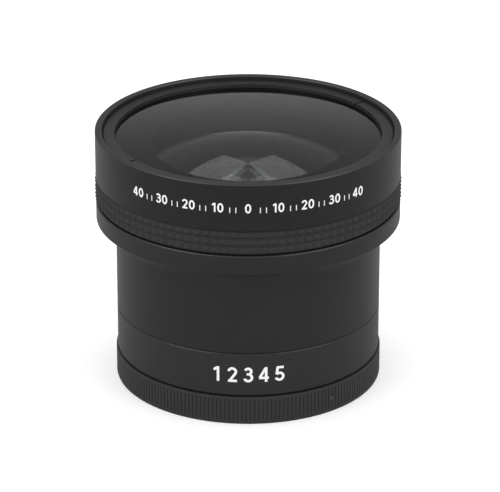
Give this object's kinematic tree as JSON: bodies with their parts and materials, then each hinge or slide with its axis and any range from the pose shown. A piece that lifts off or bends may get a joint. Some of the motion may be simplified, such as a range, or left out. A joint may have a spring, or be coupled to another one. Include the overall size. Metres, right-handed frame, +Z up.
{
  "type": "wide-angle conversion lens",
  "caption": "Black wide-angle conversion lens with a flared front barrel, rubber grip, screw-off close-up ring and ribbed screw-on rear cap.",
  "frame": {"origin": "centre of the rear cap's base", "axes": "+Z up the optical axis towards the front glass, -Y towards the viewer of the picture, +X to the viewer's right"},
  "size_m": [0.0716, 0.0716, 0.0612],
  "materials": {
    "black_anodised_aluminium": "satin black anodised",
    "blackened_aluminium": "matt black anodised",
    "cap_plastic": "moulded matt black",
    "grip_rubber": "moulded soft black",
    "seal_rubber": "smooth black",
    "black_oxide_steel": "black oxide",
    "optical_glass": "polished, coated"
  },
  "bodies": {
    "rear_cap": {"rear_cap": "cap_plastic"},
    "macro_glass": {"macro_lens": "optical_glass"},
    "macro_unit": {"macro_ring": "black_anodised_aluminium", "macro_retaining_ring": "blackened_aluminium"},
    "front_glass": {"front_element": "optical_glass"},
    "lens_barrel": {"rear_barrel": "black_anodised_aluminium", "front_barrel": "black_anodised_aluminium", "grip_ring": "grip_rubber", "grub_screws": "black_oxide_steel", "front_seal": "seal_rubber", "front_retaining_ring": "black_anodised_aluminium", "light_baffle": "blackened_aluminium", "lens_cell": "blackened_aluminium", "cell_lock_ring": "blackened_aluminium", "aperture_stop": "blackened_aluminium", "spacer_ring": "blackened_aluminium", "second_element": "optical_glass", "second_retaining_ring": "blackened_aluminium", "doublet_front": "optical_glass", "doublet_rear": "optical_glass", "rear_retaining_ring": "blackened_aluminium"}
  },
  "joints": [
    {"name": "rear_cap_lift", "type": "slide", "parent": "rear_cap", "child": "macro_glass", "axis": [0, 0, 1], "range_m": [0, 0.00413]},
    {"name": "rear_cap_screw", "type": "hinge", "parent": "macro_glass", "child": "macro_unit", "pos_m": [0, 0, 0.0045], "axis": [0, 0, 1], "range_deg": [0, 1980]},
    {"name": "macro_lift", "type": "slide", "parent": "macro_unit", "child": "front_glass", "axis": [0, 0, 1], "range_m": [0, 0.00301]},
    {"name": "macro_screw", "type": "hinge", "parent": "front_glass", "child": "lens_barrel", "pos_m": [0, 0, 0.016], "axis": [0, 0, 1], "range_deg": [0, 1440]}
  ],
  "couplings": [
    {"joint": "rear_cap_lift", "follows": "rear_cap_screw", "m_per_rad": 0.00011937},
    {"joint": "macro_lift", "follows": "macro_screw", "m_per_rad": 0.00011937}
  ]
}
